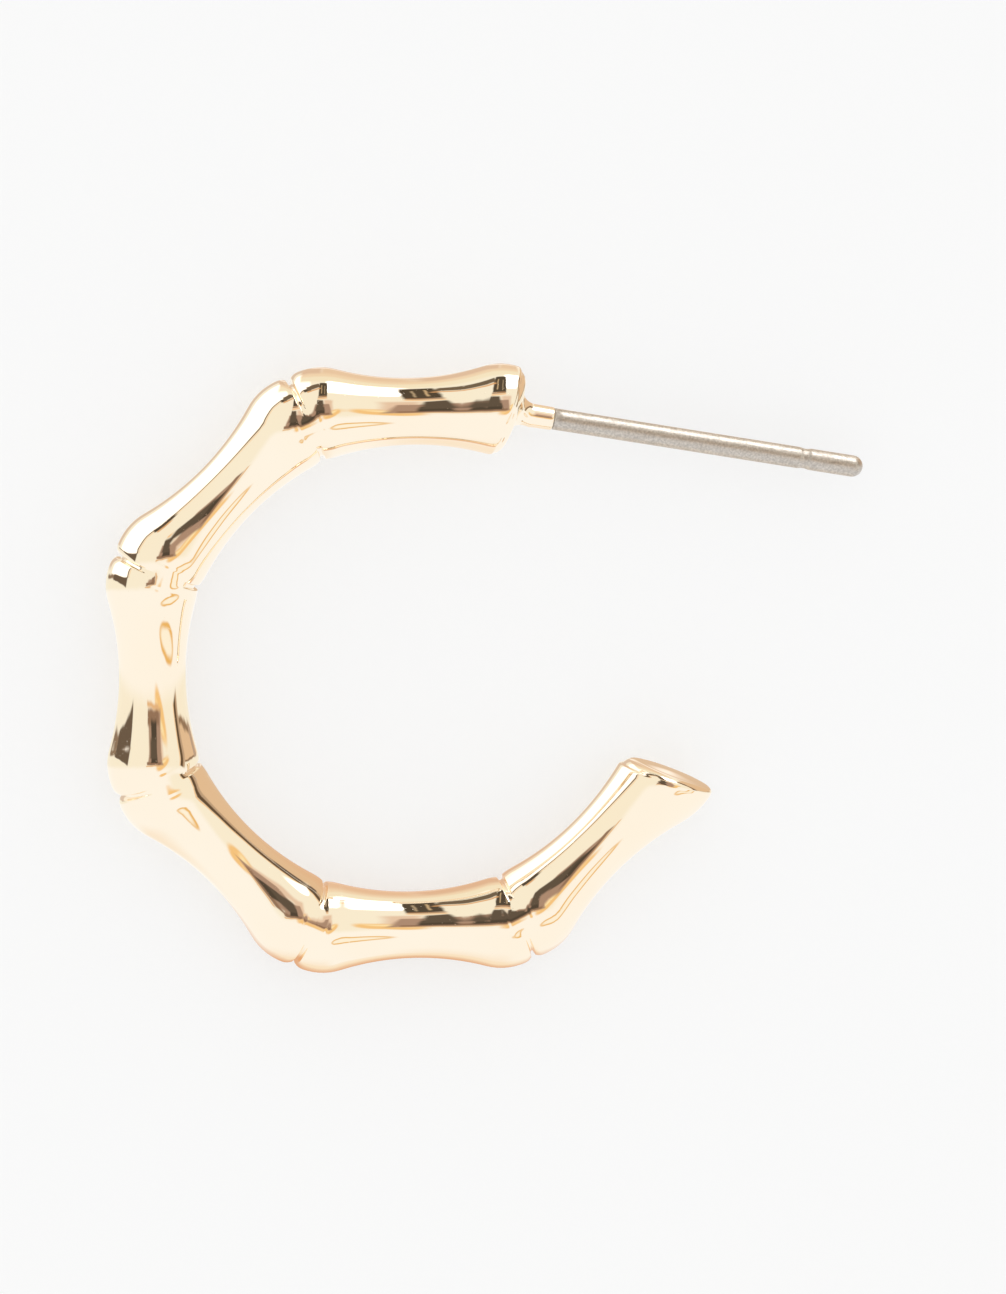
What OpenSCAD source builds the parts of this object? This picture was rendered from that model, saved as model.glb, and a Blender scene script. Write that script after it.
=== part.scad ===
/* [Hoop] */
// Distance from the centre of the hoop to the middle line of each internode
centre_line = 8.73; // [8.2:0.01:9.4]
// Radius of an internode at its waist, half way along it
waist_r = 1.12; // [1:0.01:1.25]
// Radius of an internode at the widest ring of its swollen ends
shoulder_r = 1.54; // [1.46:0.01:1.62]
// Radius of the long hollow arc that runs through the waist
waist_arc = 9.1; // [8.7:0.05:9.5]
// Radius of the arc that rounds each swollen end
shoulder_arc = 2; // [1.8:0.05:2.2]
// Radius of the lip that turns down into the notch at each node
lip_arc = 0.41; // [0.36:0.01:0.46]
// Number of internodes that are present, of the eight that would close the ring
internodes = 6; // [3:1:6]

/* [Nodes] */
// Width of the groove at each node, which fades out at the front and the back of the hoop
groove_w = 0.16; // [0.1:0.02:0.24]
// Distance from the centre of the hoop to the middle of the metal that joins two internodes
core_out = 9.2; // [9.16:0.01:9.24]
// Reach of that metal outwards and inwards from its middle, to the bottom of the groove
core_reach = 1.29; // [1.2:0.01:1.33]
// Reach of that metal to the front and the back, where it bridges the dip between the internodes
core_height = 1.52; // [1.48:0.01:1.53]
// Thickness of that metal along the hoop
core_w = 0.6; // [0.4:0.05:0.7]

/* [Ends] */
// Radius of the flat of the end face that carries the post
post_flat = 1.27; // [1.2:0.01:1.3]
// Distance from the centre of the hoop to the middle of that flat
post_flat_out = 9.23; // [9.18:0.01:9.28]
// Radius of the rounding round that flat
post_rim = 0.25; // [0.2:0.01:0.3]
// Depth of the middle of that flat inside the node plane
post_inset = 0.06; // [0.04:0.01:0.1]
// Turn of that flat from the node plane, in degrees
post_turn = 2.4; // [0:0.1:3]
// Radius of the flat of the free end face
free_flat = 1.24; // [1.16:0.01:1.28]
// Distance from the centre of the hoop to the middle of that flat
free_flat_out = 9.44; // [9.4:0.01:9.48]
// Radius of the rounding round that flat
free_rim = 0.42; // [0.38:0.01:0.45]
// Depth of the middle of that flat inside the node plane
free_inset = 0.035; // [0.02:0.005:0.08]
// Turn of that flat from the node plane, in degrees
free_turn = 2.4; // [0:0.1:3]
// Radius of the half internode at the free end, at its widest ring
free_shoulder_r = 1.58; // [1.54:0.01:1.6]
// Radius of the waist arc on that half internode
free_waist_arc = 9.9; // [9.6:0.05:10.2]
// Radius of the arc that rounds its swollen end
free_shoulder_arc = 2.9; // [2.6:0.1:3.1]
// Angle in degrees by which the last internode is bent open
open_angle = 1; // [0:0.1:1.5]

/* [Post] */
// Radius of the steel post
post_r = 0.36; // [0.33:0.01:0.37]
// Length of the post from the end face of the hoop to its tip
post_reach = 11.94; // [10:0.01:13]
// Angle in degrees by which the post dips below the line through the hoop's top
post_dip = 10.2; // [6:0.1:14]
// How far the post's root lies inside the middle line of the tube
root_inset = 0.14; // [0.1:0.005:0.2]
// Distance from the end face to the middle of the catch groove
catch_at = 9.93; // [8:0.01:10.2]
// Depth of the catch groove near the tip
catch_depth = 0.03; // [0.02:0.005:0.05]
// Width of the catch groove
catch_w = 0.36; // [0.3:0.02:0.44]

/* [Socket] */
// Radius of the gold stub at its end, where the post is set into it
stub_r = 0.385; // [0.38:0.005:0.42]
// Radius of the stub at its root, from which it draws in towards its end
stub_root_r = 0.41; // [0.4:0.005:0.44]
// Length of the stub from the end face of the hoop
stub_reach = 1.27; // [1.1:0.01:1.5]
// Radius of the foot of the flared fillet round the stub
foot_r = 0.74; // [0.68:0.01:0.78]
// Height of that fillet above the end face
fillet_h = 0.56; // [0.5:0.01:0.64]
// Distance of the fillet's middle from the post's root, towards the outside
fillet_shift = 0.13; // [0.08:0.01:0.16]
// Radius of the tenon at the root of the post
tenon_r = 0.2; // [0.16:0.01:0.2]
// Length of the tenon
tenon_l = 1; // [0.8:0.05:1.1]
// Gap between the post and its socket
seat_gap = 0.01; // [0.01:0.005:0.02]

/* [Hidden] */
$fn = 96;

// One internode fills an eighth of the full turn, and the first is at the top
pitch = 45;
half_pitch = pitch / 2;
first_angle = 90;

// Small reach of one arc past the next, so that the two cross cleanly
crossing = 0.001;

// Size that is safely outside the hoop
beyond = 20;

// Depth by which the top of the fillet sinks into the stub
tuck = 0.01;

// Distance from the middle of an internode to the outermost point of a node plane
outer_station = (centre_line + free_shoulder_r) * tan(half_pitch);

// Length by which the free half internode is drawn past its node plane, for its turned face
past_node = 0.1;

// Middle of the arc of a lip: its distance from the tube's middle line
lip_out = shoulder_r - shoulder_arc + (shoulder_arc - lip_arc + 2 * crossing) * cos(half_pitch);

// Turn of a rim's arc before its cone takes over, and the slope of that cone
rim_turn = 60;
rim_cone = 35;

// Distance between two nodes along the tube
pitch_length = 2 * centre_line * tan(half_pitch);

// Angle of the end face that carries the post
post_face = first_angle - half_pitch;

// Middle line of the tube at an end face, and the root of the post there
face_out = centre_line / cos(half_pitch);
root_out = face_out - root_inset;
post_root = [root_out * cos(post_face), root_out * sin(post_face), 0];

// Extent of the whole earring along the post, for the middle of its box
tip_x = post_root[0] + (post_reach - post_r) * cos(post_dip) + post_r;
middle_x = (tip_x - centre_line - shoulder_r) / 2;

// Distance of a shoulder from the middle of its internode, for two arcs that meet smoothly
function shoulder_at(waist, shoulder, widest) =
    sqrt(2 * (waist + shoulder) * (widest - waist_r) - (widest - waist_r) * (widest - waist_r));

// Distance from the middle of the internode at which the waist arc hands over
function hand_over(waist, shoulder, widest) =
    shoulder_at(waist, shoulder, widest) * waist / (waist + shoulder);

// Stands the part on the floor, with the middle of its box over the origin
module placed() {
    translate([-middle_x, 0, free_shoulder_r]) children();
}

// Turns a shape drawn along Z so that it runs out along the post from its root
module along_post() {
    translate(post_root) rotate([0, 0, -post_dip]) rotate([0, 90, 0]) children();
}

// Turns a shape drawn along Z so that it runs out of the radial plane at an angle
module out_of_face(angle, out, side, turn = 0) {
    translate([out * cos(angle), out * sin(angle), 0])
        rotate([0, 0, angle + 90 * side + turn]) rotate([0, 90, 0]) children();
}

// Outline of the part of an internode between its waist and one shoulder
module waist_outline(waist, shoulder, widest) {
    difference() {
        square([widest, hand_over(waist, shoulder, widest)]);
        translate([waist_r + waist, 0]) circle(r = waist);
    }
}

// Outline of a swollen end, from inside the waist's outline to the given station
module shoulder_outline(waist, shoulder, widest, end_at) {
    at = shoulder_at(waist, shoulder, widest);
    intersection() {
        translate([widest - shoulder + crossing, at]) circle(r = shoulder);
        translate([0, at - widest]) square([2 * widest, end_at - at + widest]);
    }
}

// Half of an internode's outline, with a lip that starts where it is level with the node
module half_outline() {
    at = shoulder_at(waist_arc, shoulder_arc, shoulder_r);
    waist_outline(waist_arc, shoulder_arc, shoulder_r);
    shoulder_outline(waist_arc, shoulder_arc, shoulder_r, at + shoulder_arc * sin(half_pitch));
    translate([lip_out, at + (shoulder_arc - lip_arc) * sin(half_pitch)]) circle(r = lip_arc);
    square([lip_out - lip_arc / 4, outer_station]);
}

// Half of an internode's outline at the free end, which is full up to its face
module free_outline() {
    waist_outline(free_waist_arc, free_shoulder_arc, free_shoulder_r);
    shoulder_outline(free_waist_arc, free_shoulder_arc, free_shoulder_r, outer_station + past_node);
}

// Sector between two node planes, each drawn in by half a groove or by nothing
module sector(clockwise_gap, counter_gap) {
    far = beyond * tan(half_pitch);
    linear_extrude(height = 4 * shoulder_r, center = true)
        intersection() {
            polygon([
                [0, counter_gap / cos(half_pitch) - beyond],
                [0, -counter_gap / cos(half_pitch)],
                [beyond, far - counter_gap / cos(half_pitch)],
                [beyond, -beyond],
            ]);
            polygon([
                [0, beyond],
                [0, clockwise_gap / cos(half_pitch)],
                [beyond, clockwise_gap / cos(half_pitch) - far],
                [beyond, beyond],
            ]);
        }
}

// One internode, lying across the X axis with its middle at the top of its swing
module internode(number) {
    is_first = number == 0;
    is_last = number == internodes - 1;
    intersection() {
        translate([centre_line, 0, 0]) rotate([-90, 0, 0])
            rotate_extrude() {
                if (is_last) free_outline(); else half_outline();
                mirror([0, 1]) half_outline();
            }
        sector(is_first ? 0 : groove_w / 2, is_last ? -past_node : groove_w / 2);
        if (is_first)
            out_of_face(-half_pitch, post_flat_out, 1, post_turn)
                translate([0, 0, post_inset]) rim(post_flat, post_rim);
        if (is_last)
            out_of_face(half_pitch, free_flat_out, -1, free_turn)
                translate([0, 0, free_inset]) rim(free_flat, free_rim);
    }
}

// Metal that joins two internodes at a node: a lens that is higher than it is wide
module node_core(angle) {
    bulge = core_height * core_height / core_reach;
    bow = (bulge + core_reach) / 2;
    shift = (bulge - core_reach) / 2;
    intersection() {
        out_of_face(angle, core_out - shift, 1)
            translate([0, 0, -core_w / 2]) cylinder(r = bow, h = core_w);
        out_of_face(angle, core_out + shift, 1)
            translate([0, 0, -core_w]) cylinder(r = bow, h = 2 * core_w);
    }
}

// Space behind an end face with a rounded rim, which opens out as a wide cone
module rim(flat, radius) {
    side = [flat + radius * sin(rim_turn) - crossing, radius - radius * cos(rim_turn) + crossing];
    rotate_extrude() {
        polygon([
            [0, 0],
            [flat, 0],
            side,
            side + pitch_length * [1, tan(rim_cone)],
            [side[0] + pitch_length, 2 * pitch_length],
            [0, 2 * pitch_length],
        ]);
        translate([flat, radius]) circle(r = radius);
    }
}

// Bends an internode open about the node that it follows
module bent_open(angle) {
    hinge = core_out * [cos(half_pitch), -sin(half_pitch), 0];
    translate(hinge) rotate([0, 0, -angle]) translate(-hinge) children();
}

// The six internodes with their nodes and rounded end faces, without the socket
module cane() {
    for (number = [0 : internodes - 1])
        rotate([0, 0, first_angle + number * pitch])
            bent_open(number == internodes - 1 ? open_angle : 0) internode(number);
    for (number = [1 : internodes - 1])
        node_core(post_face + number * pitch);
}

// Stub with its flared fillet, rooted inside the end of the cane
module stub() {
    along_post()
        translate([0, 0, -fillet_h / 2])
            cylinder(r1 = stub_root_r, r2 = stub_r, h = stub_reach + fillet_h / 2);
    inner = stub_r - tuck;
    rise = foot_r - inner;
    flare = (rise * rise + fillet_h * fillet_h) / (2 * rise);
    out_of_face(post_face, root_out + fillet_shift, -1, post_turn)
        translate([0, 0, -post_inset]) rotate_extrude()
            difference() {
                translate([0, -fillet_h / 2]) square([foot_r, 1.5 * fillet_h]);
                translate([inner + flare, fillet_h]) circle(r = flare);
            }
}

// The cast hoop: one piece of gold-coloured metal with a socket for the post
module bamboo_hoop() {
    color([0.91, 0.75, 0.5])
        placed()
            difference() {
                union() {
                    cane();
                    stub();
                }
                along_post()
                    translate([0, 0, stub_reach - tenon_l - seat_gap])
                        cylinder(r = tenon_r + seat_gap, h = tenon_l + 2 * seat_gap);
            }
}

// The steel post: a tenon, a straight shank with its catch groove and a round tip
module ear_post() {
    shank_from = stub_reach + seat_gap;
    shank_to = post_reach - post_r;
    catch_arc = (catch_w * catch_w / 4 + catch_depth * catch_depth) / (2 * catch_depth);
    color([0.62, 0.6, 0.57])
        placed()
            along_post()
                rotate_extrude()
                    difference() {
                        union() {
                            translate([0, shank_from - tenon_l]) square([tenon_r, tenon_l + post_r]);
                            translate([0, shank_from]) square([post_r, shank_to - shank_from]);
                            intersection() {
                                translate([0, shank_to]) circle(r = post_r);
                                translate([0, shank_to - post_r]) square([2 * post_r, 3 * post_r]);
                            }
                        }
                        translate([post_r - catch_depth + catch_arc, catch_at]) circle(r = catch_arc);
                    }
}

bamboo_hoop();
ear_post();
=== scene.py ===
"""A bamboo-cane hoop earring lying on a pale table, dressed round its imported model."""

import math

import bmesh
import bpy
import numpy as np
from mathutils import Matrix, Vector


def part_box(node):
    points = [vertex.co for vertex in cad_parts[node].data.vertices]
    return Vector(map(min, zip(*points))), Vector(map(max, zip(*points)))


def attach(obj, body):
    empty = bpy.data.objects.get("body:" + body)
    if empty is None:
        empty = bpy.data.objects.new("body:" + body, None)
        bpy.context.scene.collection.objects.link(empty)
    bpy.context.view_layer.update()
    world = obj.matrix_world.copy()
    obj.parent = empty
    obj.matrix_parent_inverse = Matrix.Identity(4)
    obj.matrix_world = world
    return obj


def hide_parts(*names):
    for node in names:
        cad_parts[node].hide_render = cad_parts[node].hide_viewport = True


MM = 0.001

# The cane, in millimetres about the middle of the hoop
CENTRE_LINE = 8.73
WAIST_R = 1.12
SHOULDER_R = 1.54
WAIST_ARC = 9.1
SHOULDER_ARC = 2.0
LIP_ARC = 0.41
FREE_SHOULDER_R = 1.58
FREE_WAIST_ARC = 9.9
FREE_SHOULDER_ARC = 2.9
INTERNODES = 6
FIRST_ANGLE = math.radians(90)
PITCH = math.radians(45)
HALF_PITCH = PITCH / 2
OPEN_ANGLE = math.radians(1)

# How an outline is drawn: the angles where its arcs end, past the node, and the points on each
FREE_ARC_END = math.radians(40)
LIP_ARC_END = math.radians(104)
ARC_POINTS = 400
SHOULDER_POINTS = 300
LIP_POINTS = 200
BEYOND_POINTS = 60
PAST_NODE = 0.05

# The metal between two internodes, and the groove that it leaves open inside and outside
CORE_OUT = 9.2
CORE_REACH = 1.29
CORE_HEIGHT = 1.535
CORE_FADE = (0.35, 0.9)
CORE_ROUNDING = 0.02
GROOVE_FLAT = 0.045
GROOVE_EDGE = 0.105

# The two end faces: the turn from the node plane and the depth inside it, the radius of the flat,
# its distance from the middle, and its rounding
POST_END = {"turn": math.radians(-2.4), "inset": 0.06, "flat": 1.09, "out": 9.23, "round": 0.43}
FREE_END = {"turn": math.radians(2.4), "inset": 0.035, "flat": 1.24, "out": 9.44, "round": 0.42}
FREE_CROWN = 0.06
RIM_BLEND = 0.07

# Behind its rim, the space that an end face leaves opens out: from what share of the rounding's
# depth, and how fast
RIM_OPENS_AT = 0.6
RIM_OPENING = 2.5

# The stub, its fillet and the post. The catch groove is drawn over its run to both sides, and the
# wall is plain where it is clear of that. The fillet's foot is sunk into the end face
POST_DIP = math.radians(10.2)
POST_INSET = 0.14
POST_R = 0.36
POST_REACH = 11.94
CATCH_AT = 9.93
CATCH_DEPTH = 0.03
CATCH_W = 0.36
CATCH_RUN = 0.28
CATCH_CLEAR = 0.3
CATCH_ROUNDING = 0.006
POST_EDGE = 0.015
TIP_END = math.radians(89)
STUB_R = 0.385
STUB_ROOT_R = 0.41
STUB_REACH = 1.27
FOOT_R = 0.74
FILLET_H = 0.56
FILLET_SHIFT = 0.13
FILLET_ROUNDING = 0.02
FOOT_SUNK = 0.1
STUB_EDGE = 0.04
SEAT_DEPTH = 0.1
SEAT_RIM = 0.1
SEAT_GAP = 0.01

# Where the casting's front stands off its turned shape: the internode, the stations along it
# between which that sets in, the rise, and how low on the sides it starts, in radii. It is full
# from the same height everywhere
FRONT_RELIEF = (
    (0, -1.7, -3.0, -0.11, 0.1),
    (3, 0.5, 3.5, 0.05, -0.9),
    (4, -2.3, -3.0, 0.05, 0.1),
    (4, 1.7, 3.0, -0.11, 0.1),
    (5, -0.3, -3.5, -0.11, -0.9),
)
RELIEF_FULL = 0.8

# How finely the smooth bodies are drawn: steps round, rows along, and how they close up at an edge
ROUND_STEPS = 144
BODY_ROWS = 15
GROOVE_ROWS = 3
WALL_ROWS = 9
EDGE_ROWS = 14
EDGE_SPREAD = 1.5
EDGE_DEPTH = 0.55
CAP_ROWS = 16
POST_STEPS = 72
FILLET_ROWS = 24
STUB_ROWS = 10
STUB_EDGE_ROWS = 6
SHANK_ROWS = 30
CATCH_ROWS = 29
END_ROWS = 10
TIP_ROWS = 16

# The photograph's camera, turned from looking straight down the hoop's axis
CAMERA_YAW = math.radians(7.42)
CAMERA_PITCH = math.radians(9.25)
CAMERA_ROLL = math.radians(0.18)
CAMERA_DISTANCE = 400.0
VIEW_OFFSET = (-3.078, -0.734)
FRAME_HEIGHT_MM = 43.43
SENSOR = 36.0
CLIP_START = 0.01

# The table, whose width is in metres, and how strongly it is lit from below
TABLE_SIZE = 3
TABLE_COLOUR = (0.41, 0.412, 0.416)
TABLE_ROUGHNESS = 0.8
TABLE_GLOW = 0.53

# The warm spot that the metal sees on the table below the front of the hoop is a painted reflection
# of warm shade near the contact: a glow that only mirrored rays see. In millimetres: where its tone
# changes along Y, and along each axis where it starts to show and where it is full
REFLECTED_SHADE_DEEP = -11.0
REFLECTED_SHADE_FAR = -14.0
REFLECTED_SHADE_EDGES = (("Y", -4.0, -9.5), ("Y", -20.0, -14.0), ("X", -9.5, -7.0), ("X", 4.0, 1.0))
REFLECTED_SHADE_WARM = (0.78, 0.45, 0.27)
REFLECTED_SHADE_PALE = (0.96, 0.84, 0.68)

# The metals: each noise as its cells a metre, its detail, the part of its range that is used and
# what that becomes, and the height of each bump in metres
GOLD_COLOURS = ((1.0, 0.905, 0.755), (1.0, 0.89, 0.725))
GOLD_TONE = (260, 2, 0.35, 0.65, 0, 1)
GOLD_PITS = (16000, 1, 0.7, 0.78, 0, 0.22)
GOLD_HAZE = (700, 3, 0.4, 0.75, 0.012, 0.05)
GOLD_WAVES = (620, 1)
GOLD_WAVE_HEIGHT = 1.1e-5
STEEL_COLOURS = ((0.46, 0.425, 0.39), (0.69, 0.645, 0.595))
STEEL_GRAINS = (13000, 2)
STEEL_TONE = (0.3, 0.7, 0, 1)
STEEL_ROUGHNESS = (2500, 3, 0.3, 0.7, 0.36, 0.46)
STEEL_GRAIN_HEIGHT = 6e-6


def arc(centre, radius, start, end, points):
    """Points (radius from the axis, station) along an arc, for angles from the radial direction."""
    turn = np.linspace(start, end, points)
    return np.stack([centre[0] + radius * np.cos(turn), centre[1] + radius * np.sin(turn)], 1)


def half_outline(waist, shoulder, widest, lip):
    """The outline of half an internode, from its waist to beyond its node, as one smooth line."""
    swell = widest - WAIST_R
    at = math.sqrt(2 * (waist + shoulder) * swell - swell * swell)
    meet = math.asin(at / (waist + shoulder))
    middle = (widest - shoulder, at)
    hollow = arc((WAIST_R + waist, 0), waist, math.pi, math.pi - meet, ARC_POINTS)
    if not lip:
        swollen = arc(middle, shoulder, -meet, FREE_ARC_END, ARC_POINTS)[1:]
        return np.concatenate([hollow, swollen])
    lip_middle = (
        middle[0] + (shoulder - lip) * math.cos(HALF_PITCH),
        middle[1] + (shoulder - lip) * math.sin(HALF_PITCH),
    )
    swollen = arc(middle, shoulder, -meet, HALF_PITCH, SHOULDER_POINTS)[1:]
    turned_in = arc(lip_middle, lip, HALF_PITCH, LIP_ARC_END, LIP_POINTS)[1:]
    beyond = turned_in[-1] + np.linspace(0, 1, BEYOND_POINTS)[1:, None] * [0, lip]
    return np.concatenate([hollow, swollen, turned_in, beyond])


def smooth_step(value, low, high):
    """0 below low, 1 above high, and smooth between."""
    t = np.clip((value - low) / (high - low), 0, 1)
    return t * t * (3 - 2 * t)


def soft_max(one, other, rounding):
    """The larger of two sizes, with the change from one to the other rounded."""
    return 0.5 * (one + other + np.sqrt((one - other) ** 2 + rounding**2))


def soft_min(one, other, rounding):
    """The smaller of two sizes, with the change from one to the other rounded."""
    return -soft_max(-one, -other, rounding)


def depth_levels():
    """Distances from a node plane at which the cane has a ring, close together at the groove."""
    flat = np.linspace(0, GROOVE_FLAT, GROOVE_ROWS)
    wall = np.linspace(GROOVE_FLAT, GROOVE_EDGE, WALL_ROWS)[1:]
    share = np.linspace(0, 1, EDGE_ROWS)[1:] ** EDGE_SPREAD
    return np.concatenate([flat, wall, GROOVE_EDGE + (EDGE_DEPTH - GROOVE_EDGE) * share])


def rim_radius(depth, end):
    """Largest distance from the middle of an end face's flat, at a depth behind that face."""
    inside = np.clip(end["round"] - depth, 0, end["round"])
    arc_part = end["flat"] + np.sqrt(end["round"] ** 2 - inside**2)
    return arc_part + RIM_OPENING * np.clip(depth - RIM_OPENS_AT * end["round"], 0, None)


def face_of(end):
    """The angle of a node plane or an end face, its middle along that angle, and its depth."""
    if end is None:
        return HALF_PITCH, CORE_OUT, 0.0
    along = end["out"] * math.cos(HALF_PITCH) + end["inset"] * math.sin(HALF_PITCH)
    aside = end["out"] * math.sin(HALF_PITCH) - end["inset"] * math.cos(HALF_PITCH)
    face = HALF_PITCH + end["turn"]
    c, s = math.cos(face), math.sin(face)
    return face, along * c + aside * s, along * s - aside * c


def half_internode(outline, end):
    """Rings from the waist to the node plane, as (out, along, up) about the middle of the hoop."""
    face, middle, start = face_of(end)
    c, s = math.cos(face), math.sin(face)
    theta = np.linspace(0, 2 * math.pi, ROUND_STEPS, endpoint=False)
    levels = depth_levels()[::-1]
    rings = np.zeros((BODY_ROWS + len(levels), ROUND_STEPS, 3))
    run = np.arange(len(outline), dtype=float)
    for i, turn in enumerate(theta):
        out = CENTRE_LINE + outline[:, 0] * math.cos(turn)
        depth = out * s - outline[:, 1] * c - start
        beyond = int(np.argmax(depth < -PAST_NODE))
        depth_run, run_back = depth[: beyond + 1][::-1], run[: beyond + 1][::-1]
        edge = np.interp(EDGE_DEPTH, depth_run, run_back)
        body_at = np.linspace(0, edge, BODY_ROWS + 1)[:-1]
        at = np.concatenate([body_at, np.interp(levels, depth_run, run_back)])
        radius = np.interp(at, run, outline[:, 0])
        station = np.interp(at, run, outline[:, 1])
        rings[:, i] = np.stack(
            [CENTRE_LINE + radius * math.cos(turn), station, radius * math.sin(turn)], 1
        )
    out = rings[..., 0] * c + rings[..., 1] * s
    depth = rings[..., 0] * s - rings[..., 1] * c - start
    up = rings[..., 2]
    reach = np.hypot(out - middle, up)
    if end is None:
        core = reach / np.hypot((out - middle) / CORE_REACH, up / CORE_HEIGHT)
        keep = smooth_step(depth, GROOVE_FLAT, GROOVE_EDGE)
        cut = reach - (1 - keep) * soft_max(reach - core, 0, CORE_ROUNDING)
        near = 1 - smooth_step(depth, *CORE_FADE)
        limit = reach + near * (soft_max(cut, core - 1 + near, CORE_ROUNDING) - reach)
    else:
        limit = soft_min(reach, rim_radius(depth, end), RIM_BLEND)
    out = middle + (out - middle) * limit / reach
    up = up * limit / reach
    rings[..., 0] = out * c + (depth + start) * s
    rings[..., 1] = out * s - (depth + start) * c
    rings[..., 2] = up
    return rings


def turned(rings, angle):
    """Rings turned about the hoop's axis by an angle."""
    c, s = math.cos(angle), math.sin(angle)
    x, y, z = rings[..., 0], rings[..., 1], rings[..., 2]
    return np.stack([x * c - y * s, x * s + y * c, z], -1)


def with_relief(internode, number):
    """An internode with the front of the casting raised or lowered where it stands off."""
    along, up = internode[..., 1], internode[..., 2]
    lift = np.zeros_like(up)
    for which, start, full, rise, low in FRONT_RELIEF:
        if which == number:
            front = smooth_step(up / SHOULDER_R, low, RELIEF_FULL)
            lift += rise * front * smooth_step(along * np.sign(start), abs(start), abs(full))
    return internode + lift[..., None] * np.array([0, 0, 1])


def cane_rings():
    """All the rings of the cane, from the end that carries the post round to the free end."""
    plain = half_outline(WAIST_ARC, SHOULDER_ARC, SHOULDER_R, LIP_ARC)
    full = half_outline(FREE_WAIST_ARC, FREE_SHOULDER_ARC, FREE_SHOULDER_R, None)
    node_half = half_internode(plain, None)
    post_half = half_internode(plain, POST_END)
    free_half = half_internode(full, FREE_END)
    flip = np.array([1, -1, 1])
    hinge = np.array([CORE_OUT * math.cos(HALF_PITCH), -CORE_OUT * math.sin(HALF_PITCH), 0])
    rows = []
    for number in range(INTERNODES):
        before = post_half if number == 0 else node_half[:-1]
        after = free_half if number == INTERNODES - 1 else node_half
        internode = np.concatenate([before[:0:-1] * flip, after])
        if number == INTERNODES - 1:
            internode = turned(internode - hinge, -OPEN_ANGLE) + hinge
        internode = with_relief(internode, number)
        rows.append(turned(internode, FIRST_ANGLE + number * PITCH))
    return np.concatenate(rows)


def cap_rings(edge, crown):
    """Rings that close an end face, from its edge in to its middle, which stands out by a crown."""
    middle = edge.mean(axis=0)
    normal = np.cross(edge[ROUND_STEPS // 4] - middle, edge[0] - middle)
    share = 1 - np.arange(1, CAP_ROWS)[:, None, None] / CAP_ROWS
    rise = crown * (1 - share**2) ** 2
    return middle + (edge - middle) * share + rise * normal / np.linalg.norm(normal)


def post_frame():
    """The root of the post on the end face, its direction, and the direction across it."""
    face = FIRST_ANGLE - HALF_PITCH
    out = CENTRE_LINE / math.cos(HALF_PITCH) - POST_INSET
    root = np.array([out * math.cos(face), out * math.sin(face), 0])
    along = np.array([math.cos(POST_DIP), -math.sin(POST_DIP), 0])
    across = np.array([math.sin(POST_DIP), math.cos(POST_DIP), 0])
    return root, along, across


def ring(middle, across, radius):
    """One ring of points about a middle, in the plane of a direction and the hoop's axis."""
    turn = np.linspace(0, 2 * math.pi, POST_STEPS, endpoint=False)[:, None]
    return middle + radius * (np.cos(turn) * across + np.sin(turn) * np.array([0, 0, 1.0]))


def stub_rings():
    """The flared fillet and the stub, from inside the end face out to the seat of the post."""
    root, along, across = post_frame()
    face = FIRST_ANGLE - HALF_PITCH - POST_END["turn"]
    inset = POST_END["inset"]
    face_across = np.array([math.cos(face), math.sin(face), 0])
    normal = np.array([math.sin(face), -math.cos(face), 0])
    foot = root + FILLET_SHIFT * face_across - inset * normal
    neck = root + (FILLET_H - inset) * along
    rise = FOOT_R - STUB_R
    flare = (rise * rise + FILLET_H * FILLET_H) / (2 * rise)
    rows = [ring(foot - FOOT_SUNK * normal, face_across, FOOT_R)]
    draw = (STUB_R - STUB_ROOT_R) / (STUB_REACH + FILLET_H / 2)
    for share in np.linspace(0, 1, FILLET_ROWS):
        height = share * FILLET_H
        sweep = STUB_R + flare - math.sqrt(flare * flare - (FILLET_H - height) ** 2)
        cone = STUB_R - draw * (STUB_REACH + inset - height)
        tilt = (1 - share) * face_across + share * across
        tilt /= np.linalg.norm(tilt)
        radius = soft_max(sweep, cone, FILLET_ROUNDING)
        rows.append(ring((1 - share) * foot + share * neck, tilt, radius))
    stations = []
    for at in np.linspace(FILLET_H - inset, STUB_REACH - STUB_EDGE, STUB_ROWS)[1:]:
        stations.append((at, STUB_R - draw * (STUB_REACH - at)))
    for turn in np.linspace(0, math.pi / 2, STUB_EDGE_ROWS)[1:]:
        at = STUB_REACH - STUB_EDGE + STUB_EDGE * math.sin(turn)
        stations.append((at, STUB_R - STUB_EDGE + STUB_EDGE * math.cos(turn)))
    stations += [(at, POST_R - 2 * SEAT_GAP) for at in (STUB_REACH, STUB_REACH - SEAT_DEPTH)]
    return np.stack(rows + [ring(root + at * along, across, radius) for at, radius in stations])


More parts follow.
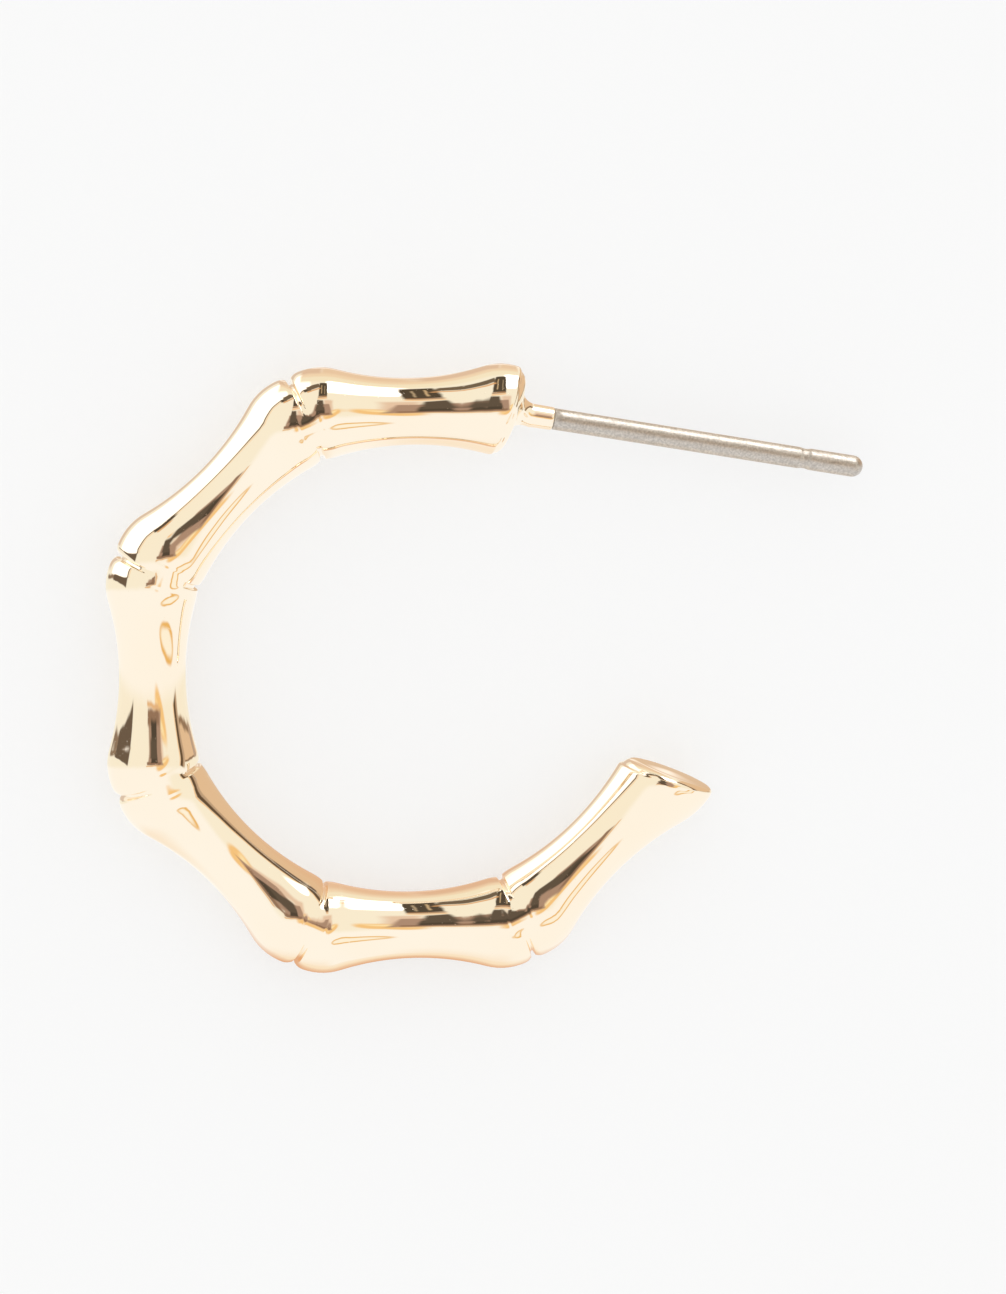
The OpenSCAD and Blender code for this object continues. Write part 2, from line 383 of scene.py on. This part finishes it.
def post_rings():
    """The shank of the post from its seat to its round tip."""
    root, along, across = post_frame()
    catch_arc = (CATCH_W**2 / 4 + CATCH_DEPTH**2) / (2 * CATCH_DEPTH)
    start, end = STUB_REACH + SEAT_GAP, POST_REACH - POST_R
    before, after = CATCH_AT - CATCH_CLEAR, CATCH_AT + CATCH_CLEAR
    seat = [(start, POST_R - SEAT_RIM), (start, POST_R - POST_EDGE)]
    stations = seat + [(start + POST_EDGE, POST_R)]
    stations += [(at, POST_R) for at in np.linspace(start, before, SHANK_ROWS)[1:]]
    for at in np.linspace(CATCH_AT - CATCH_RUN, CATCH_AT + CATCH_RUN, CATCH_ROWS):
        inside = catch_arc**2 - (at - CATCH_AT) ** 2
        dip = POST_R - CATCH_DEPTH + catch_arc - math.sqrt(inside)
        stations.append((at, soft_min(POST_R, dip, CATCH_ROUNDING)))
    stations += [(at, POST_R) for at in np.linspace(after, end, END_ROWS)]
    for turn in np.linspace(0, TIP_END, TIP_ROWS)[1:]:
        stations.append((end + POST_R * math.sin(turn), POST_R * math.cos(turn)))
    return np.stack([ring(root + at * along, across, radius) for at, radius in stations])


def tube_mesh(name, rings):
    """A smooth closed mesh skinned over rings of points, with a fan at each end."""
    rows, steps = rings.shape[:2]
    points = rings.reshape(-1, 3)
    row = np.arange(rows - 1)[:, None] * steps
    here = np.arange(steps)[None, :]
    after = (here + 1) % steps
    quads = np.stack([row + here, row + after, row + steps + after, row + steps + here], -1)
    faces = quads.reshape(-1, 4).tolist()
    last = (rows - 1) * steps
    start_middle, end_middle = rows * steps, rows * steps + 1
    points = np.concatenate([points, rings[0].mean(axis=0)[None], rings[-1].mean(axis=0)[None]])
    faces += [(start_middle, (k + 1) % steps, k) for k in range(steps)]
    faces += [(end_middle, last + k, last + (k + 1) % steps) for k in range(steps)]
    mesh = bpy.data.meshes.new(name)
    mesh.from_pydata(points.tolist(), [], faces)
    shell = bmesh.new()
    shell.from_mesh(mesh)
    bmesh.ops.recalc_face_normals(shell, faces=shell.faces)
    shell.to_mesh(mesh)
    shell.free()
    mesh.polygons.foreach_set("use_smooth", [True] * len(mesh.polygons))
    return mesh


def hoop_middle():
    """The middle of the hoop in the row frame, in metres, from the box of its node."""
    low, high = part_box("bamboo_hoop")
    reach = (CENTRE_LINE + SHOULDER_R) * MM
    return Vector((low.x + reach, (low.y + high.y) / 2, (low.z + high.z) / 2))


def place(mesh, middle):
    """Turns a mesh about the middle of the hoop, in millimetres, into the row frame in metres."""
    mesh.transform(Matrix.Translation(middle) @ Matrix.Scale(MM, 4))
    mesh.update()


def new_object(name, mesh):
    """A new object for a mesh, in the scene."""
    thing = bpy.data.objects.new(name, mesh)
    bpy.context.scene.collection.objects.link(thing)
    return thing


def united(name, one, other):
    """One closed mesh from two that cross, with nothing left inside."""
    body, added = new_object(name, one), new_object("added", other)
    union = body.modifiers.new("union", "BOOLEAN")
    union.operation = "UNION"
    union.solver = "EXACT"
    union.object = added
    solved = body.evaluated_get(bpy.context.evaluated_depsgraph_get())
    result = bpy.data.meshes.new_from_object(solved)
    for thing, mesh in ((body, one), (added, other)):
        bpy.data.objects.remove(thing)
        bpy.data.meshes.remove(mesh)
    result.name = name
    result.polygons.foreach_set("use_smooth", [True] * len(result.polygons))
    return result


def make_hoop(middle):
    """The cast hoop: cane, end faces, fillet and stub."""
    rows = cane_rings()
    first, last = cap_rings(rows[0], 0), cap_rings(rows[-1], FREE_CROWN)
    cane = tube_mesh("cane", np.concatenate([first[::-1], rows, last]))
    mesh = united("hoop_body", cane, tube_mesh("stub", stub_rings()))
    place(mesh, middle)
    return new_object("hoop_body", mesh)


def make_post(middle):
    """The steel shank of the post."""
    mesh = tube_mesh("post_shank", post_rings())
    place(mesh, middle)
    return new_object("post_shank", mesh)


class Tree:
    """The nodes of a material or a world, with short ways to add to them."""

    def __init__(self, owner):
        owner.use_nodes = True
        self.nodes = owner.node_tree.nodes
        self.links = owner.node_tree.links

    def put(self, given, slot):
        """Gives an input a socket to read, or a number or colour of its own."""
        if hasattr(given, "links"):
            self.links.new(given, slot)
        elif slot.type == "RGBA":
            slot.default_value = (*given, 1)
        else:
            slot.default_value = given

    def add(self, kind, *inputs, **settings):
        """The outputs of a new node, after its settings are made and its inputs filled in order."""
        node = self.nodes.new(kind)
        for name, setting in settings.items():
            setattr(node, name, setting)
        for slot, given in zip(node.inputs, inputs):
            if given is not None:
                self.put(given, slot)
        return node.outputs

    def maths(self, operation, *inputs):
        """The result of a sum."""
        return self.add("ShaderNodeMath", *inputs, operation=operation)[0]

    def vector(self, operation, *inputs):
        """The outputs of a sum with vectors."""
        return self.add("ShaderNodeVectorMath", *inputs, operation=operation)

    def ramp(self, value, low, high, start, end, kind="LINEAR"):
        """A value turned into another range, cut off at both ends."""
        limits = (low, high, start, end)
        return self.add("ShaderNodeMapRange", value, *limits, interpolation_type=kind)["Result"]

    def noise(self, cells, detail, *limits):
        """A noise in the coordinates of the object itself, turned into another range if given."""
        place_on = self.add("ShaderNodeTexCoord")["Object"]
        value = self.add("ShaderNodeTexNoise", place_on, None, cells, detail)["Fac"]
        return self.ramp(value, *limits) if limits else value

    def bump(self, height, distance):
        """A bump of a height in metres."""
        node = self.nodes.new("ShaderNodeBump")
        node.inputs["Strength"].default_value = 1.0
        node.inputs["Distance"].default_value = distance
        self.links.new(height, node.inputs["Height"])
        return node.outputs["Normal"]

    def mix(self, share, one, other):
        """A colour between two, by a share."""
        node = self.nodes.new("ShaderNodeMix")
        node.data_type = "RGBA"
        for slot, given in zip((0, 6, 7), (share, one, other)):
            self.put(given, node.inputs[slot])
        return node.outputs[2]

    def pick(self, share, one, other):
        """A shader between two, by a share."""
        return self.add("ShaderNodeMixShader", share, one, other)[0]

    def for_mirrors(self):
        """1 for the rays that a polished surface sends out, and 0 for all others."""
        return self.add("ShaderNodeLightPath")["Is Glossy Ray"]


def principled(name):
    """A new material, its nodes and the inputs of its Principled shader."""
    material = bpy.data.materials.new(name)
    tree = Tree(material)
    return material, tree, tree.nodes["Principled BSDF"].inputs


def gold_material():
    """Gold plate polished to a mirror, with the faint waves, pits and haze of a casting."""
    material, tree, skin = principled("gold_plate")
    skin["Metallic"].default_value = 1.0
    tree.put(tree.mix(tree.noise(*GOLD_TONE), *GOLD_COLOURS), skin["Base Color"])
    rough = tree.maths("ADD", tree.noise(*GOLD_PITS), tree.noise(*GOLD_HAZE))
    tree.put(rough, skin["Roughness"])
    tree.put(tree.bump(tree.noise(*GOLD_WAVES), GOLD_WAVE_HEIGHT), skin["Normal"])
    return material


def steel_material():
    """Steel wire with a tumbled, satin skin, whose fine grains catch the light in patches."""
    material, tree, skin = principled("post_steel")
    skin["Metallic"].default_value = 1.0
    grains = tree.noise(*STEEL_GRAINS)
    tree.put(tree.mix(tree.ramp(grains, *STEEL_TONE), *STEEL_COLOURS), skin["Base Color"])
    tree.put(tree.noise(*STEEL_ROUGHNESS), skin["Roughness"])
    tree.put(tree.bump(grains, STEEL_GRAIN_HEIGHT), skin["Normal"])
    return material


def make_table():
    """The pale table that the earring lies on, lit a little from below and clear to the metal.

    The photographed earring stands well in front of its background, so its metal mirrors the room
    all round. Rays from the polished metal pass through the table for that reason, except below the
    front of the hoop, where they meet a painted reflection of warm shade, a glow that only the
    metal sees.
    """
    bpy.ops.mesh.primitive_plane_add(size=TABLE_SIZE, location=(0, 0, 0))
    table = bpy.context.object
    table.name = "table"
    material, tree, skin = principled("table_white")
    skin["Base Color"].default_value = (*TABLE_COLOUR, 1)
    skin["Roughness"].default_value = TABLE_ROUGHNESS
    skin["Emission Color"].default_value = (*EVEN_LIGHT, 1)
    skin["Emission Strength"].default_value = TABLE_GLOW
    place_on = tree.add("ShaderNodeSeparateXYZ", tree.add("ShaderNodeTexCoord")["Object"])
    # Painted reflection of warm shade: a glow that only the metal sees, warm near the hoop and
    # paler further out
    near = tree.ramp(place_on["Y"], REFLECTED_SHADE_FAR * MM, REFLECTED_SHADE_DEEP * MM, 0, 1)
    painted_reflection = tree.add("ShaderNodeEmission", tree.mix(near, REFLECTED_SHADE_PALE, REFLECTED_SHADE_WARM))[0]
    share = 1.0
    for along, outside, inside in REFLECTED_SHADE_EDGES:
        part = tree.ramp(place_on[along], outside * MM, inside * MM, 0, 1)
        share = tree.maths("MULTIPLY", share, part)
    mirrored = tree.pick(share, tree.add("ShaderNodeBsdfTransparent")[0], painted_reflection)
    surface = tree.pick(tree.for_mirrors(), tree.nodes["Principled BSDF"].outputs[0], mirrored)
    tree.put(surface, tree.nodes["Material Output"].inputs["Surface"])
    table.data.materials.append(material)


def camera_axes():
    """The camera's right, up and back directions in the row frame, as rows."""
    yaw = Matrix.Rotation(CAMERA_YAW, 3, "Y")
    pitch = Matrix.Rotation(CAMERA_PITCH, 3, "X")
    roll = Matrix.Rotation(CAMERA_ROLL, 3, "Z")
    return roll @ pitch @ yaw


def place_camera(middle):
    """The camera at the photograph's angle to the hoop, high above the table."""
    turn_back = camera_axes().transposed()
    offset = Vector((-VIEW_OFFSET[0], -VIEW_OFFSET[1], CAMERA_DISTANCE)) * MM
    data = bpy.data.cameras.new("camera")
    data.sensor_width = SENSOR
    data.lens = SENSOR * CAMERA_DISTANCE / FRAME_HEIGHT_MM
    data.clip_start = CLIP_START
    camera = bpy.data.objects.new("camera", data)
    bpy.context.scene.collection.objects.link(camera)
    place_at = Matrix.Translation(middle + turn_back @ offset)
    camera.matrix_world = place_at @ turn_back.to_4x4()
    bpy.context.scene.camera = camera


def grey(level):
    """A neutral colour of a level."""
    return (level, level, level)


# The studio as the metal sees it, in degrees right of and above the camera: what it is, the
# middle, the width and height, the turn, the softness of the edge, and the colour
FLAT_CARDS = [
    ("bounce on the upper right", (30, 71), (28, 32), 0, 5, grey(5)),
    ("ceiling", (2, 98), (90, 22), 0, 5, (0.92, 0.86, 0.7)),
    ("middle of the ceiling", (2, 114), (90, 18), 0, 5, (0.88, 0.73, 0.56)),
    ("far ceiling on the left", (-22, 136), (48, 34), 0, 7, (0.75, 0.56, 0.43)),
    ("far ceiling on the right", (24, 136), (44, 34), 0, 7, (0.82, 0.63, 0.47)),
    ("frame of the top light", (8.5, 62), (17, 38), 0, 1.2, (0.09, 0.07, 0.05)),
    ("gap in that frame", (5.2, 62), (1.3, 25), 0, 0.8, (0.62, 0.46, 0.28)),
    ("second gap in that frame", (11.6, 60), (1.1, 24), 0, 0.8, (0.48, 0.38, 0.26)),
    ("foot of that frame", (8, 41.5), (17, 4), 8, 1.5, (0.42, 0.24, 0.13)),
    ("glow under the frame", (8, 37), (18, 3.5), 12, 1.5, (0.9, 0.6, 0.34)),
    ("arm of that frame", (-12, 69), (27, 12), 24, 1.5, (0.17, 0.13, 0.09)),
    ("glow under the arm", (-10, 60), (28, 3.5), 22, 1.5, (0.75, 0.42, 0.2)),
    ("flag at the left", (-88, 10), (13, 50), 75, 1.5, (0.15, 0.11, 0.08)),
    ("pale cloth on the right", (19, 18), (17, 30), 0, 4, (0.8, 0.62, 0.5)),
    ("brown cloth", (7.5, 8), (32, 28), 0, 2, (0.42, 0.285, 0.22)),
    ("edge of the front table", (4, -3), (36, 6), 0, 1.5, (0.3, 0.19, 0.13)),
    ("glow of that edge", (3, -7.6), (38, 2.4), 3, 1.2, (0.78, 0.5, 0.28)),
    ("camera", (5, 6), (15, 16), 0, 1.5, (0.085, 0.066, 0.049)),
    ("hood of the camera", (3.5, 19), (13, 26), 0, 2, (0.12, 0.093, 0.07)),
    ("warm floor below", (-30, -140), (100, 74), 0, 22, (0.97, 0.88, 0.78)),
]

# How much narrower some of them get towards the top, as a share of half their width
TAPERS = {
    "flag at the left": 0.4,
    "brown cloth": 0.22,
    "camera": 0.12,
    "hood of the camera": 0.3,
}

# Round things, in the same terms
OVAL_CARDS = [
    ("golden dish on the table", (26, -3), (38, 16), 36, 2, (0.92, 0.61, 0.28)),
    ("pale hollow of the dish", (25, -1), (26, 5), 38, 1.5, (1.0, 0.84, 0.52)),
    ("rim of the tray", (50, -34), (52, 17), 14, 1, (0.84, 0.51, 0.17)),
    ("tray", (50, -34), (44, 10.5), 14, 1.5, (1.0, 0.97, 0.88)),
]

# Things that ring the hoop, in degrees round from the right and degrees away from the camera
ROUND_CARDS = [
    ("large soft light on the upper left", (137, 96), (70, 60), 0, 2, (1.5, 1.45, 1.42)),
    ("shade behind that light", (130, 151), (66, 24), 0, 4, (0.72, 0.58, 0.48)),
    ("edge below that light", (171, 112), (4, 66), 0, 1.2, (0.28, 0.2, 0.14)),
    ("rim of that light", (137, 65.5), (64, 3), -4, 1, (0.2, 0.13, 0.085)),
    ("inner rim of that light", (137, 61.8), (62, 2.5), -4, 1, (0.95, 0.76, 0.54)),
    ("corner of that light", (111, 65), (14, 8), 0, 1.5, (0.09, 0.07, 0.05)),
    ("wooden wall on the right", (33, 118), (54, 66), -8, 2, (0.76, 0.55, 0.37)),
    ("shade behind that wall", (60, 164), (70, 32), 0, 6, (0.74, 0.54, 0.37)),
    ("pale wall behind the hoop", (82, 155), (36, 14), 0, 4, (1.1, 1.02, 0.94)),
    ("lower edge of that wall", (6.5, 118), (2.6, 56), -8, 1, (0.3, 0.2, 0.13)),
    ("far corner of that wall", (11, 138), (8, 14), -8, 2, (0.5, 0.37, 0.29)),
    ("dim strip behind its frame", (25, 89), (62, 8), 9, 2, (0.5, 0.36, 0.25)),
    ("frame of that wall", (26, 83), (62, 8), 9, 1.5, (0.13, 0.085, 0.05)),
    ("corner of its frame", (51, 92), (13, 11), 0, 2, (0.14, 0.11, 0.09)),
    ("inner edge of its frame", (26, 77.5), (62, 2.5), 9, 1, (0.9, 0.6, 0.34)),
]

# How far in degrees the edges of all of them wander, and in how many cells a degree
UNEVEN_BY = 2.5
UNEVEN_CELLS = 0.07

# What lies beyond them: the light from below, that from the walls, and the degrees above the
# camera between which one turns into the other. Everything that isn't polished sees one light
TABLE_LIGHT = (1.0, 1.0, 1.0)
WALL_LIGHT = (0.95, 0.92, 0.82)
HORIZON = (-17, -4)
EVEN_LIGHT = (1.0, 1.0, 0.995)

# Keeps the direction straight at the camera from a division by zero
NEAR_ZERO = 0.0001


def light_room():
    """A room of soft lights and cards, given by direction, which the polished metal reflects."""
    world = bpy.data.worlds.new("room")
    tree = Tree(world)

    def length(one, other):
        squares = [tree.maths("MULTIPLY", side, side) for side in (one, other)]
        return tree.maths("SQRT", tree.maths("ADD", *squares))

    def edge(reach, half, soft):
        return tree.ramp(reach, 1 - soft / half, 1 + soft / half, 1, 0, "SMOOTHSTEP")

    direction = tree.add("ShaderNodeTexCoord")["Generated"]
    right, up, back = (
        tree.vector("DOT_PRODUCT", direction, tuple(axis))["Value"] for axis in camera_axes()
    )
    away = tree.maths("MULTIPLY", tree.maths("ARCCOSINE", back), math.degrees(1))
    round_to = tree.maths("MULTIPLY", tree.maths("ARCTAN2", up, right), math.degrees(1))
    spread = tree.maths("DIVIDE", away, tree.maths("MAXIMUM", length(right, up), NEAR_ZERO))
    degrees = [tree.maths("MULTIPLY", side, spread) for side in (right, up)]
    flat = tree.add("ShaderNodeCombineXYZ", *degrees)[0]
    polar = tree.add("ShaderNodeCombineXYZ", round_to, away)[0]
    wave = tree.add("ShaderNodeTexNoise", flat, None, UNEVEN_CELLS, 0.0)["Color"]
    shifted = tree.vector("SUBTRACT", wave, (0.5, 0.5, 0.5))[0]
    uneven = tree.vector("SCALE", shifted, None, None, UNEVEN_BY)[0]
    flat = tree.vector("ADD", flat, uneven)[0]
    polar = tree.vector("ADD", polar, uneven)[0]

    height = tree.add("ShaderNodeSeparateXYZ", flat)["Y"]
    above = tree.ramp(height, *HORIZON, 0, 1, "SMOOTHSTEP")
    colour = tree.mix(above, TABLE_LIGHT, WALL_LIGHT)
    for place_in, cards in ((polar, ROUND_CARDS), (flat, OVAL_CARDS), (flat, FLAT_CARDS)):
        for name, (x, y), (width, tall), angle, soft, card_colour in cards:
            frame = ((x, y, 0), (0, 0, math.radians(angle)), (width / 2, tall / 2, 1))
            within = tree.add("ShaderNodeMapping", place_in, *frame, vector_type="TEXTURE")[0]
            parts = tree.add("ShaderNodeSeparateXYZ", within)
            if cards is OVAL_CARDS:
                share = edge(length(parts["X"], parts["Y"]), tall / 2, soft)
            else:
                sideways, upright = (tree.maths("ABSOLUTE", parts[side]) for side in "XY")
                if name in TAPERS:
                    wider = tree.maths("MULTIPLY_ADD", parts["Y"], TAPERS[name], 1.0)
                    sideways = tree.maths("MULTIPLY", sideways, wider)
                across = edge(sideways, width / 2, soft)
                share = tree.maths("MULTIPLY", across, edge(upright, tall / 2, soft))
            colour = tree.mix(share, colour, card_colour)
    tree.put(colour, tree.nodes["Background"].inputs["Color"])

    even = tree.add("ShaderNodeBackground", EVEN_LIGHT)[0]
    room = tree.pick(tree.for_mirrors(), even, tree.nodes["Background"].outputs[0])
    tree.put(room, tree.nodes["World Output"].inputs["Surface"])
    world.cycles.sampling_method = "NONE"
    bpy.context.scene.world = world
    bpy.context.scene.view_settings.view_transform = "Standard"


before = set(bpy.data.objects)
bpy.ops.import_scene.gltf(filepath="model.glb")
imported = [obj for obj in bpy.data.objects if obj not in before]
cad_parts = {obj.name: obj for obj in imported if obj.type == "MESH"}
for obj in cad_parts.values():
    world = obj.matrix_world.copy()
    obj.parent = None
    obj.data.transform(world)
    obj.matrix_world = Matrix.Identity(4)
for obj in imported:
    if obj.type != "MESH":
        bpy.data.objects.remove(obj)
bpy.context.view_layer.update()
middle = hoop_middle()
place_camera(middle)
make_table()
light_room()

hoop = make_hoop(middle)
hoop.data.materials.append(gold_material())
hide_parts("bamboo_hoop")
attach(hoop, "root")

post = make_post(middle)
post.data.materials.append(steel_material())
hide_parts("ear_post")
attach(post, "root")
